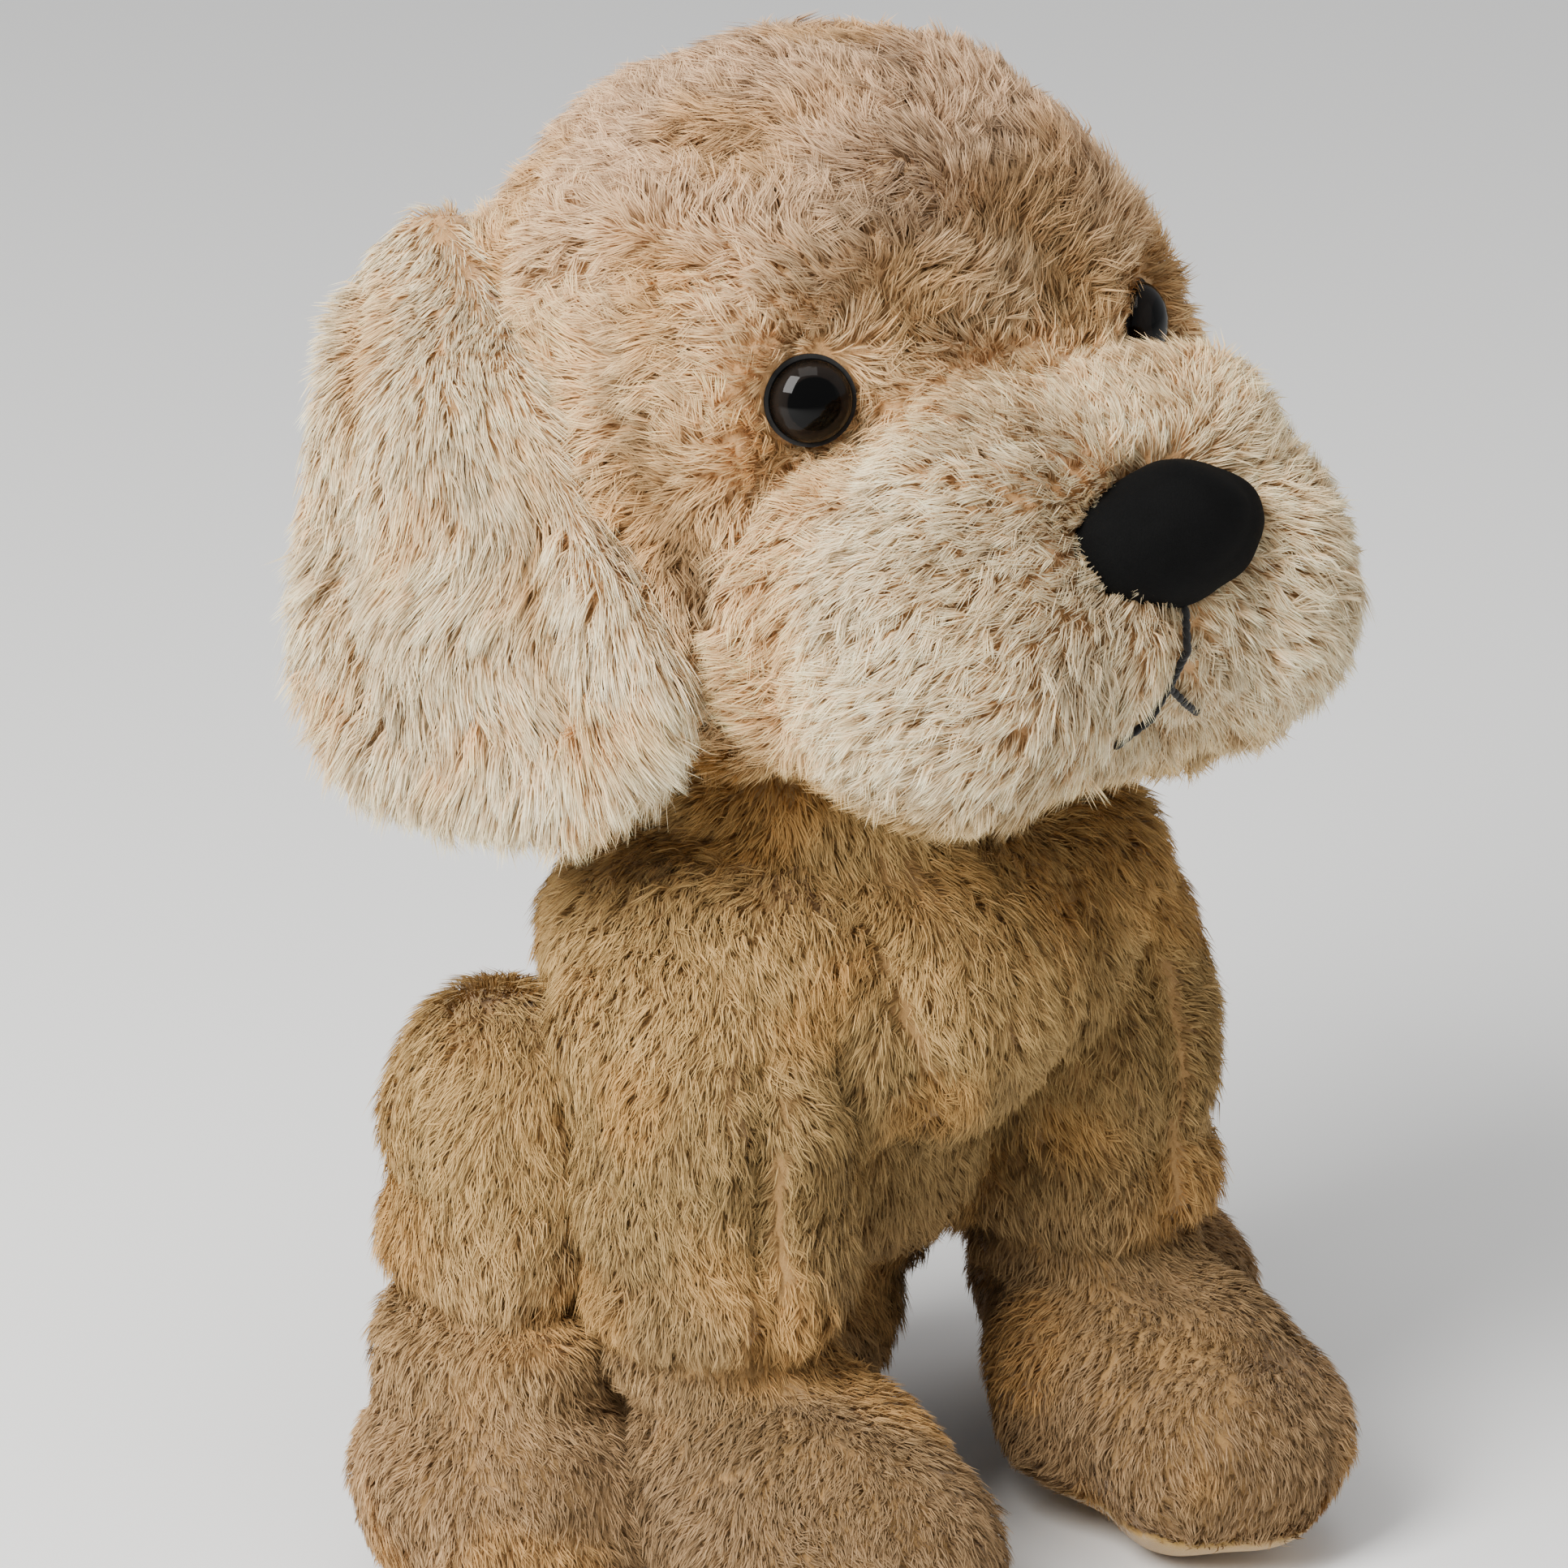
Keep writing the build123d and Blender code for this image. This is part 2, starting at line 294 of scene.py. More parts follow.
def to_segment(p, a, b):
    """Distance of each point from the straight line between a and b."""
    a, b = np.asarray(a, float), np.asarray(b, float)
    run = b - a
    t = np.clip(((p - a) @ run) / max(run @ run, 1e-9), 0, 1)
    return np.linalg.norm(p - a - t[:, None] * run, axis=1)


def to_path(p, path):
    return np.min([to_segment(p, a, b) for a, b in zip(path, path[1:])], axis=0)


def mirrored(path, s):
    """The same path on the dog's left (1) or right (-1)."""
    return [np.array(q, float) * (s, 1, 1) for q in path]


def snapped(points, path, step=4.0):
    """The path in short steps, each moved to the nearest point of the skin."""
    fine = [np.asarray(path[0], float)]
    for a, b in zip(path, path[1:]):
        a, b = np.asarray(a, float), np.asarray(b, float)
        count = max(1, round(np.linalg.norm(b - a) / step))
        fine += [a + (b - a) * (i + 1) / count for i in range(count)]
    return [points[np.argmin(((points - p) ** 2).sum(1))] for p in fine]


def crease(points, normals, path, depth, width):
    """Pull the skin in along a path, as a seam does."""
    return points - normals * (depth * bell(to_path(points, snapped(points, path)), width))[:, None]


def from_path(p, path):
    """Distance of each point from a path, and the unit vector that leads away from it."""
    best, away = np.full(len(p), 1e9), np.zeros((len(p), 3))
    for a, b in zip(path, path[1:]):
        run = b - a
        t = np.clip(((p - a) @ run) / max(run @ run, 1e-9), 0, 1)
        off = p - a - t[:, None] * run
        distance = np.linalg.norm(off, axis=1)
        closer = distance < best
        best[closer], away[closer] = distance[closer], off[closer]
    return best, unit(away)


def waves(p, size, seed):
    """Smooth noise from -1 to 1 that wanders over about size millimetres."""
    rng = np.random.default_rng(seed)
    total = np.zeros(len(p))
    for _ in range(7):
        k = rng.normal(size=3)
        k *= rng.uniform(0.7, 1.5) * 2 * pi / (size * np.linalg.norm(k))
        total += np.sin(p @ k + rng.uniform(0, 2 * pi))
    return total / 3.0


def unit(v):
    return v / np.maximum(np.linalg.norm(v, axis=1, keepdims=True), 1e-9)


# ---- fur ----------------------------------------------------------------------------------------

STRAND_LIMIT = 65000     # strands in one piece


def scatter(mesh, count, rng):
    """Random places on the mesh, even by area: point and normal of each, and the whole area."""
    mesh.calc_loop_triangles()
    tri = np.empty(len(mesh.loop_triangles) * 3, np.int32)
    mesh.loop_triangles.foreach_get("vertices", tri)
    tri = tri.reshape(-1, 3)
    co, no = points_of(mesh), normals_of(mesh)
    a, b, c = co[tri[:, 0]], co[tri[:, 1]], co[tri[:, 2]]
    area = np.linalg.norm(np.cross(b - a, c - a), axis=1)
    pick = rng.choice(len(tri), count, p=area / area.sum())
    u, v = rng.random(count), rng.random(count)
    over = u + v > 1
    u[over], v[over] = 1 - u[over], 1 - v[over]
    w = np.stack([1 - u - v, u, v], 1)[:, :, None]
    return (co[tri[pick]] * w).sum(1), unit((no[tri[pick]] * w).sum(1)), area.sum() / 2


def nearest(points, centres):
    """For each point, which centre is nearest."""
    tree = KDTree(len(centres))
    for i, c in enumerate(centres.tolist()):
        tree.insert(c, i)
    tree.balance()
    find = tree.find
    return np.array([find(p)[1] for p in points.tolist()])


def turned(direction, about, angle):
    """direction turned about a perpendicular unit vector, point by point."""
    return direction * np.cos(angle)[:, None] + np.cross(about, direction) * np.sin(angle)[:, None]


def grow(name, skin, body, seed, lay, length, colour, where=None, partings=(), density=270, lift=0.75,
         swirl=0.5, swirl_size=42.0, lock=2.0, lock_turn=0.32, stray=0.2, clump=0.4, width=0.34, droop=0.12):
    """Grow fur on a skin, as ribbons that gather into locks.

    density is in strands per square centimetre, lock is the width of a lock, and lift the angle at which
    a strand leaves the skin. lay, length and colour give those for each root, and where the share of
    strands that it keeps. Along partings, which are paths on the skin, the fur is short and leans away to
    both sides. Where the lay has no way to go along the skin, the fur stands up.
    """
    rng = np.random.default_rng(seed)
    thin = 1.0
    area = scatter(skin.data, 1, rng)[2]
    root, normal, _ = scatter(skin.data, int(area / 100 * density * thin), rng)
    if where:
        keep = rng.random(len(root)) < where(root)
        root, normal = root[keep], normal[keep]
    count = len(root)
    way = unit(lay(root, normal))
    way -= (way * normal).sum(1, keepdims=True) * normal
    upright = 1 - fade(np.linalg.norm(way, axis=1), 0.08, 0.45)
    way = unit(way)
    bend = swirl(root) if callable(swirl) else swirl
    way = turned(way, normal, bend * waves(root, swirl_size, seed + 1))
    long = length(root)
    skin_points = points_of(skin.data)
    for path in partings:
        distance, away = from_path(root, snapped(skin_points, path))
        near = bell(distance, 4.0)[:, None]
        way = way * (1 - 0.4 * near) + away * near * 0.7
        long = long * (1 - 0.3 * near[:, 0])
    way = unit(way - (way * normal).sum(1, keepdims=True) * normal)

    hearts = rng.choice(count, min(count, int(area / lock ** 2)), replace=False)
    mine = nearest(root, root[hearts])
    way = turned(way, normal, rng.normal(0, lock_turn, len(hearts))[mine] + rng.normal(0, stray, count))
    rise = lift * (1 + 0.3 * waves(root, 26.0, seed + 2)) + 0.6 * upright + rng.normal(0, 0.16, len(hearts))[mine]
    rise = np.clip(rise + rng.normal(0, 0.12, count), 0.15, 1.35)
    long = long * rng.uniform(0.72, 1.12, count) * (1 + rng.normal(0, 0.10, len(hearts)))[mine]

    first = unit(way * np.cos(rise)[:, None] + normal * np.sin(rise)[:, None])
    later = rise * 0.35
    second = unit(way * np.cos(later)[:, None] + normal * np.sin(later)[:, None] - np.array((0, 0, droop)))
    path = np.empty((count, 3, 3))
    path[:, 0] = root - normal * 0.7
    path[:, 1] = path[:, 0] + first * (0.5 * long)[:, None]
    path[:, 2] = path[:, 1] + second * (0.5 * long)[:, None]
    heart = path[hearts[mine]]
    for k, share in ((1, 0.45), (2, 1.0)):
        pull = clump * share * rng.uniform(0.6, 1.0, (count, 1))
        path[:, k] += (heart[:, k] - path[:, k]) * pull
    path[:, :, 2] = np.maximum(path[:, :, 2], 0.4)

    wide = width * rng.uniform(0.7, 1.25, count) / sqrt(thin)
    roll = rng.normal(0, 0.55, count)
    shade = 1 + 0.12 * rng.normal(size=count) + 0.11 * rng.normal(size=len(hearts))[mine]
    shade += 0.09 * waves(root, 45.0, seed + 3) + 0.06 * waves(root, 17.0, seed + 4)
    shade = np.clip(shade, 0.55, 1.35)[:, None]
    base, tip = colour(root)
    base, tip = base * shade, tip * shade
    for i, start in enumerate(range(0, count, STRAND_LIMIT)):
        part = slice(start, start + STRAND_LIMIT)
        ribbons(f"{name}_{i + 1}", body, path[part], normal[part], roll[part], wide[part], base[part], tip[part])


def ribbons(name, body, path, normal, roll, wide, base, tip):
    """A mesh of fine ribbons, each two segments long and pointed, that lie flat like real pile."""
    count = len(path)
    order = np.lexsort((tip.sum(1), (tip[:, 0] / np.maximum(tip[:, 2], 0.01)).round(1)))
    path, normal, roll, wide, base, tip = (v[order] for v in (path, normal, roll, wide, base, tip))
    ahead = unit(path[:, 2] - path[:, 0])
    side = unit(np.cross(ahead, normal))
    side = turned(side, ahead, roll) * (wide / 2)[:, None]
    verts = np.stack([path[:, 0] - side, path[:, 0] + side, path[:, 1] - side * 0.9, path[:, 1] + side * 0.9,
                      path[:, 2]], 1)
    middle = base + (tip - base) * 0.42
    paint = np.ones((count, 5, 4))
    paint[:, 0, :3] = paint[:, 1, :3] = base
    paint[:, 2, :3] = paint[:, 3, :3] = middle
    paint[:, 4, :3] = tip
    corner = np.array((0, 1, 3, 0, 3, 2, 2, 3, 4))
    loops = (corner[None] + (np.arange(count) * 5)[:, None]).ravel()
    mesh = bpy.data.meshes.new(name)
    mesh.vertices.add(count * 5)
    mesh.vertices.foreach_set("co", (verts * MM).astype(np.float32).ravel())
    mesh.loops.add(len(loops))
    mesh.loops.foreach_set("vertex_index", loops.astype(np.int32))
    mesh.polygons.add(len(loops) // 3)
    mesh.polygons.foreach_set("loop_start", np.arange(0, len(loops), 3, dtype=np.int32))
    mesh.polygons.foreach_set("use_smooth", np.ones(len(loops) // 3, bool))
    mesh.update(calc_edges=True)
    attribute = mesh.attributes.new("paint", "FLOAT_COLOR", "POINT")
    attribute.data.foreach_set("color", np.clip(paint, 0, 1).astype(np.float32).ravel())
    # The map runs from root to tip upwards, and strands of one colour lie side by side across it.
    left, right = np.arange(count) / count, (np.arange(count) + 1) / count
    place = np.empty((count, 5, 2))
    place[:, (0, 2), 0], place[:, (1, 3), 0], place[:, 4, 0] = left[:, None], right[:, None], (left + right) / 2
    place[:, :, 1] = (0.0, 0.0, 0.5, 0.5, 1.0)
    layer = mesh.uv_layers.new(name="OFBake")
    layer.data.foreach_set("uv", place.reshape(-1, 2)[loops].astype(np.float32).ravel())
    mesh.materials.append(MATERIALS["fur"])
    obj = bpy.data.objects.new(name, mesh)
    bpy.context.scene.collection.objects.link(obj)
    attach(obj, body)


def srgb(*values):
    """Linear colour from 0-255 values as a screen shows them."""
    v = np.array(values) / 255
    return np.where(v <= 0.04045, v / 12.92, ((v + 0.055) / 1.055) ** 2.4)


def between(a, b, share):
    return a + (b - a) * np.clip(share, 0, 1)[:, None]


def fade(value, low, high):
    """0 at low, 1 at high, smooth between."""
    t = np.clip((value - low) / (high - low), 0, 1)
    return t * t * (3 - 2 * t)


CREAM_TIP, CREAM_ROOT = srgb(255, 242, 204), srgb(180, 132, 74)
PEACH_TIP, PEACH_ROOT = srgb(255, 224, 172), srgb(196, 142, 84)
ROSE_TIP, ROSE_ROOT = srgb(232, 196, 156), srgb(132, 94, 60)
KHAKI_TIP, KHAKI_ROOT = srgb(212, 178, 116), srgb(140, 104, 60)
BROWN_TIP, BROWN_ROOT = srgb(192, 158, 114), srgb(126, 94, 60)
GOLD_TIP, GOLD_ROOT = srgb(218, 170, 98), srgb(148, 98, 42)


# ---- the dog --------------------------------------------------------------------------------

def finish_skin(obj, body, material, nodes):
    for polygon in obj.data.polygons:
        polygon.use_smooth = True
    obj.data.materials.clear()
    obj.data.materials.append(material)
    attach(obj, body)
    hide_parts(*nodes)


def bodies_nodes(body, *without):
    names = frame["record"]["behaviour"]["bodies"][body]
    return [n for n in names if not any(n.startswith(w) for w in without)]


MOUTH = [[(0, -123, 257), (0, -122, 247), (0, -120, 237)]]
MOUTH += [[(0, -120, 237), (s * 7, -120, 231), (s * 15, -116, 226)] for s, _ in SIDES]
MUZZLE_SEAM = [(0, -72, 309), (22, -70, 307), (42, -64, 300), (60, -52, 286), (70, -44, 268), (71, -40, 250),
               (64, -40, 232), (50, -40, 214)]
EAR_VALLEY = [(76, 16, 338), (82, -6, 322), (83, -20, 300), (79, -33, 276), (72, -42, 252)]
BROW_SEAM = [(80, 14, 318), (66, -26, 331), (60, -46, 320), (54, -50, 313)]


def head_skin():
    lumps = [
        lump(HEAD, (83, 80, 82)),
        lump(HEAD + (0, 8, 6), (83, 80, 78)),
        lump(HEAD + (0, -64, -26), (65, 56, 45)),
    ]
    for s, _ in SIDES:
        lumps.append(lump(HEAD + (s * 32, -71, -28), (36, 49, 43), (0, 0, s * 8)))
        lumps.append(lump(HEAD + (s * 50, -34, -28), (30, 32, 40)))
        lumps.append(lump(HEAD + (s * 22, -82, 6), (32, 24, 20), (0, s * 14, 0)))
        # The skull is fuller where an ear hangs from it.
        lumps.append(lump(HEAD + (s * 57, 36, 33), (18, 22, 14)))
    obj = merged("head_skin", lumps, 2.6, 7)
    points = points_of(obj.data)
    local = points - HEAD
    # The face is flat between the eyes and above them.
    front = np.clip(-local[:, 1] - 50, 0, None) * fade(local[:, 2], 10, 34)
    points[:, 1] += front * 0.72
    move_points(obj.data, points)
    normals = normals_of(obj.data)
    for s, _ in SIDES:
        mirror = np.array((s, 1, 1))
        eye, axis = EYE * mirror, eye_axis(s)
        points -= normals * (4.0 * bell(np.linalg.norm(points - eye, axis=1), 15.0))[:, None]
        points -= normals * (5.0 * bell(np.linalg.norm(points - eye - (-s * 3, 0, 17), axis=1), 6.0))[:, None]
        # The skin round an eye is a dish that the eye is pulled down onto.
        ahead = (points - eye) @ axis
        aside = np.linalg.norm(points - eye - ahead[:, None] * axis, axis=1)
        over = np.clip(ahead + 1.5 - 0.55 * np.clip(aside - 11, 0, None), 0, None) * (aside < 22) * (ahead < 25)
        points -= axis * over[:, None]
        points = crease(points, normals, mirrored(MUZZLE_SEAM, s), 7.0, 6.0)
        points = crease(points, normals, mirrored(BROW_SEAM, s), 5.0, 5.0)
        points = crease(points, normals, [(s * 66, 44, 344), (s * 80, 34, 318), (s * 82, 26, 296)], 5.0, 9.0)
        points = crease(points, normals, [(0, -116, 228), (s * 18, -110, 216), (s * 34, -92, 206)], 5.0, 6.0)
    points = crease(points, normals, [(0, -124, 262), (0, -122, 240), (0, -110, 222), (0, -84, 208)], 4.5, 7.0)
    points += normals * (1.6 * waves(points, 55.0, 5))[:, None]
    move_points(obj.data, points)
    return obj


def head_lay(root, normal):
    """Combing of the head: back over the crown, out and down over cheeks, back along the muzzle."""
    p = root - HEAD
    crown = np.stack([0.25 * p[:, 0] / 50, np.full(len(p), 0.5), np.full(len(p), 0.2)], 1)
    cheek = np.stack([0.6 * np.sign(p[:, 0]), np.full(len(p), 0.55), np.full(len(p), -0.9)], 1)
    muzzle = unit(root - NOSE) + (0, 0.1, -0.25)
    low = fade(-p[:, 2], -35, 20)[:, None]
    lay = crown * (1 - low) + cheek * low
    snout = (fade(-p[:, 1], 52, 72) * fade(-p[:, 2], -26, -12))[:, None]
    lay = lay * (1 - snout) + muzzle * snout
    for s, _ in SIDES:
        away = root - EYE * (s, 1, 1) + (0, 0, -8)
        near = bell(np.linalg.norm(away, axis=1), 17.0)[:, None]
        lay = lay * (1 - near) + unit(away) * near
    return lay


def head_colour(root):
    p = root - HEAD
    base = between(PEACH_ROOT, ROSE_ROOT, fade(p[:, 2], 20, 70))
    tip = between(PEACH_TIP, ROSE_TIP, fade(p[:, 2], 20, 70))
    snout = fade(-p[:, 1], 58, 84) * fade(-p[:, 2], -28, -8)
    base, tip = (a + (b - a) * snout[:, None] for a, b in ((base, CREAM_ROOT), (tip, CREAM_TIP)))
    gold = fade(waves(root, 46.0, 17), 0.1, 0.9) * 0.45 * (1 - 0.7 * snout)
    base, tip = (a + (b - a) * gold[:, None] for a, b in ((base, GOLD_ROOT), (tip, GOLD_TIP)))
    under = fade(-p[:, 2], 46, 74)
    base, tip = (a + (b - a) * under[:, None] for a, b in ((base, KHAKI_ROOT), (tip, KHAKI_TIP)))
    # Painted shade: the fur is darkened over the brow, and a painted shadow lies where the ears lie against the
    # cheeks.
    # painted shade over the brow: the front of the head above the eyes is darkened
    brow_shade = 1 - 0.3 * (fade(-p[:, 1], 25, 60) * fade(p[:, 2], 12, 36))[:, None]
    base, tip = base * brow_shade, tip * brow_shade
    # painted shadow along the ear valley: the fur there is mixed towards a dark brown
    valley_shade = np.maximum(*(bell(to_path(root, mirrored(EAR_VALLEY, s)), 6.5) for s, _ in SIDES))[:, None]
    return base + (BROWN_ROOT * 0.5 - base) * valley_shade * 0.8, tip + (BROWN_ROOT - tip) * valley_shade * 0.8


def head_where(root):
    """No fur on the eyes or on the nose, and little where the neck hides it."""
    keep = np.ones(len(root), bool)
    for s, _ in SIDES:
        keep &= np.linalg.norm(root - EYE * (s, 1, 1), axis=1) > 11.2
    nose = (root - NOSE) / (20, 40, 10)
    for path in MOUTH:
        keep &= to_path(root, path) > 2.8
    hidden = (root[:, 2] < 212) & (np.hypot(root[:, 0], root[:, 1] - 6) < 40)
    return (keep & ((nose ** 2).sum(1) > 1)) * np.where(hidden, 0.3, 1.0)


def head_length(root):
    p = root - HEAD
    length = np.full(len(p), 11.0)
    length -= 4.0 * bell(np.linalg.norm(root - NOSE, axis=1), 26.0)
    for s, _ in SIDES:
        length -= 5.0 * bell(np.linalg.norm(root - EYE * (s, 1, 1), axis=1), 15.0)
        length -= 4.0 * bell(to_path(root, mirrored(EAR_VALLEY, s)), 6.0)
    return length


def head_swirl(root):
    """How much the combing wanders: a lot over the crown, little on the muzzle."""
    p = root - HEAD
    return 0.95 - 0.6 * fade(-p[:, 1], 52, 80) * fade(-p[:, 2], -28, -8)


def make_head():
    skin = head_skin()
    finish_skin(skin, "head", MATERIALS["skin"], bodies_nodes("head", "eye", "nose", "mouth"))
    seams = [mirrored(path, s) for path in (MUZZLE_SEAM, BROW_SEAM) for s, _ in SIDES]
    grow("head_fur", skin, "head", 11, head_lay, head_length, head_colour, where=head_where,
         partings=seams + MOUTH, density=270, lift=0.85, swirl=head_swirl, swirl_size=34.0, lock=2.1, lock_turn=0.42,
         clump=0.5)


def make_eyes():
    """Each eye is a turned dome with a thin rim, seated in the pinch of the face."""
    for s, word in SIDES:
        steps = 14
        profile = [(9.6 * cos(a), 6.0 * sin(a)) for a in np.linspace(0, pi / 2, steps)]
        profile = [(0.0, -1.6), (9.4, -1.6), (10.1, -1.0), (10.1, -0.2)] + profile
        rim = 64
        verts, faces = [], []
        for r, z in profile[1:-1]:
            verts += [(r * cos(2 * pi * i / rim), r * sin(2 * pi * i / rim), z) for i in range(rim)]
        rows = len(profile) - 2
        verts += [(0, 0, profile[0][1]), (0, 0, profile[-1][1])]
        for k in range(rows - 1):
            for i in range(rim):
                j = (i + 1) % rim
                faces.append((k * rim + i, k * rim + j, (k + 1) * rim + j, (k + 1) * rim + i))
        for i in range(rim):
            j = (i + 1) % rim
            faces.append((rows * rim, j, i))
            faces.append((rows * rim + 1, (rows - 1) * rim + i, (rows - 1) * rim + j))
        mesh = bpy.data.meshes.new(f"eye_{word}")
        mesh.from_pydata([tuple(v * MM for v in vert) for vert in verts], [], faces)
        for polygon in mesh.polygons:
            polygon.use_smooth = True
        mesh.materials.append(MATERIALS["eye"])
        obj = bpy.data.objects.new(f"eye_{word}", mesh)
        bpy.context.scene.collection.objects.link(obj)
        obj.matrix_world = (Matrix.Translation(Vector(EYE * (s, 1, 1)) * MM) @ Matrix.Rotation(s * EYE_TURN, 4, "Z")
                            @ Matrix.Rotation(pi / 2 - EYE_TILT, 4, "X"))
        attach(obj, "head")
        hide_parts(f"eye_{word}_dome", f"eye_{word}_iris")


def make_nose():
    """Velour nose: a rounded oval, flatter above, fuller below."""
    obj = merged("nose", [lump(NOSE, (26, 14, 17)), lump(NOSE + (0, -2, 2), (21, 13, 15))], 1.0, 8)
    points, normals = points_of(obj.data), normals_of(obj.data)
    local = points - NOSE
    points[:, 2] -= 2.5 * fade(local[:, 2], 4, 16) * np.abs(local[:, 0]) / 26
    points += normals * (0.35 * waves(points, 14.0, 21))[:, None]
    move_points(obj.data, points)
    finish_skin(obj, "head", MATERIALS["nose"], ["nose_cover", "nose_stuffing"])


def front_of(points, x, z):
    """How far forward the skin reaches at this place across and up."""
    near = (np.abs(points[:, 0] - x) < 2.6) & (np.abs(points[:, 2] - z) < 2.6)
    return points[near, 1].min()


def make_mouth():
    """Embroidered mouth: rows of short overlapping stitches."""
    shape = bmesh.new()
    points = points_of(bpy.data.objects["head_skin"].data)
    for path in MOUTH:
        path = [(x, front_of(points, x, z) - 3.4, z) for x, _, z in path]
        for a, b in zip(path, path[1:]):
            a, b = Vector(a), Vector(b)
            count = max(2, round((b - a).length / 2.4))
            for i in range(count):
                middle = a.lerp(b, (i + 0.5) / count)
                turn = (b - a).to_track_quat("Z", "Y").to_matrix().to_4x4()
                lean = Matrix.Rotation(radians(14), 4, "Y")
                size = Matrix.Diagonal((0.95 * MM, 0.95 * MM, 2.1 * MM, 1))
                matrix = Matrix.Translation(middle * MM) @ turn @ lean @ size
                bmesh.ops.create_uvsphere(shape, u_segments=12, v_segments=8, radius=1.0, matrix=matrix)
    mesh = bpy.data.meshes.new("mouth")
    shape.to_mesh(mesh)
    shape.free()
    for polygon in mesh.polygons:
        polygon.use_smooth = True
    mesh.materials.append(MATERIALS["thread"])
    obj = bpy.data.objects.new("mouth", mesh)
    bpy.context.scene.collection.objects.link(obj)
    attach(obj, "head")
    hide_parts("mouth_stitch")


EAR_OUTLINE = [(20, 340), (36, 330), (48, 315), (54, 296), (57, 268), (57, 244), (53, 220), (43, 206), (26, 200),
               (4, 197), (-14, 200), (-29, 211), (-40, 226), (-42, 240), (-32, 254), (-17, 269), (-4, 286), (8, 310)]
EAR_FOLDS = [[(8, 312), (-6, 270), (-12, 226)], [(40, 316), (40, 268), (34, 222)]]
EAR_TURN = 0.2126         # the rear edge stands this much further out than the front, per millimetre


def smooth_loop(points, steps=6):
    """A closed smooth curve through the points."""
    p = np.array(points, float)
    before, after, next_after = np.roll(p, 1, 0), np.roll(p, -1, 0), np.roll(p, -2, 0)
    rows = []
    for t in np.arange(steps) / steps:
        rows.append(0.5 * (2 * p + (after - before) * t + (2 * before - 5 * p + 4 * after - next_after) * t ** 2
                           + (3 * p - before - 3 * after + next_after) * t ** 3))
    return np.stack(rows, 1).reshape(-1, 2)


def make_ear(s, word):
    """Ear: a padded leaf with soft folds down its length, and long fur combed to its edge."""
    outline = smooth_loop(EAR_OUTLINE)
    shape = bmesh.new()
    face = shape.faces.new([shape.verts.new((-3.0 * MM, y * MM, z * MM)) for y, z in outline])
    made = bmesh.ops.extrude_face_region(shape, geom=[face])
    bmesh.ops.translate(shape, verts=[v for v in made["geom"] if isinstance(v, bmesh.types.BMVert)],
                        vec=(6.0 * MM, 0, 0))
    bmesh.ops.recalc_face_normals(shape, faces=shape.faces)
    mesh = bpy.data.meshes.new(f"ear_{word}_skin")
    shape.to_mesh(mesh)
    shape.free()
    obj = bpy.data.objects.new(mesh.name, mesh)
    bpy.context.scene.collection.objects.link(obj)
    remesh = obj.modifiers.new("remesh", "REMESH")
    remesh.mode = "VOXEL"
    remesh.voxel_size = 2.4 * MM
    relax = obj.modifiers.new("relax", "SMOOTH")
    relax.iterations = 5
    apply_modifiers(obj)
    points = points_of(obj.data)
    y, z = points[:, 1].copy(), points[:, 2].copy()
    rim = np.column_stack([np.zeros(len(outline) + 1), np.vstack([outline, outline[:1]])])
    inside = to_path(np.column_stack([np.zeros(len(points)), y, z]), rim)
    crown = 5.0 * np.sqrt(1 - (1 - np.clip(inside / 22, 0, 1)) ** 2)
    points[:, 0] = np.sign(points[:, 0]) * (np.abs(points[:, 0]) + crown)
    around = np.arctan2(y - 24, 350 - z)
    far = np.hypot(y - 24, 350 - z)
    folds = np.sin(around * 7.5 + 0.9) * 6.0 * fade(far, 20, 110)
    for path in EAR_FOLDS:
        line = [(0, *q) for q in path]
        folds -= 6.0 * bell(to_path(np.column_stack([np.zeros(len(points)), y, z]), line), 8.0)
    # Towards its root the ear leans in against the skull, and back.
    lean = fade(z, 285, 345)
    points[:, 0] += 98 - 28 * lean + EAR_TURN * (y - 6) + folds
    points[:, 1] += 33 * lean
    points[:, 2] -= 15 * lean
    points[:, 0] *= s
    move_points(obj.data, points)
    if s < 0:
        obj.data.flip_normals()
    nodes = bodies_nodes(f"ear_{word}")
    finish_skin(obj, f"ear_{word}", MATERIALS["skin"], nodes)

    def lay(root, normal):
        return np.column_stack([np.zeros(len(root)), (root[:, 1] - 18) / 95, np.full(len(root), -1.0)])

    def length(root):
        return 8 + 6 * fade(330 - root[:, 2], 0, 90)

    def colour(root):
        gold = fade(waves(root, 34.0, 44), 0.0, 0.9) * 0.8
        # painted shade: the fur along the fold grooves is mixed towards the darker gold
        groove_shade = np.max([bell(to_path(root, line), 5.0) for line in lines], axis=0) * 0.7
        base, tip = between(CREAM_ROOT, PEACH_ROOT, gold), between(CREAM_TIP, PEACH_TIP, gold)
        return base + (GOLD_ROOT - base) * groove_shade[:, None], tip + (GOLD_TIP - tip) * groove_shade[:, None]

    def where(root):
        """The side that lies against the head has thinner fur."""
        outer = s * root[:, 0] - 98 - EAR_TURN * (root[:, 1] - 6) + 28 * fade(root[:, 2], 270, 330)
        return np.where(outer < -2, 0.6, 1.0)

    lines = [[(s * (98 + EAR_TURN * (q[0] - 6)), *q) for q in path] for path in EAR_FOLDS]
    grow(f"ear_{word}_fur", obj, f"ear_{word}", 40 + s, lay, length, colour, where=where,
         density=280, lift=0.5, swirl=0.42, swirl_size=38.0, lock=2.4, lock_turn=0.16, stray=0.12, clump=0.42)


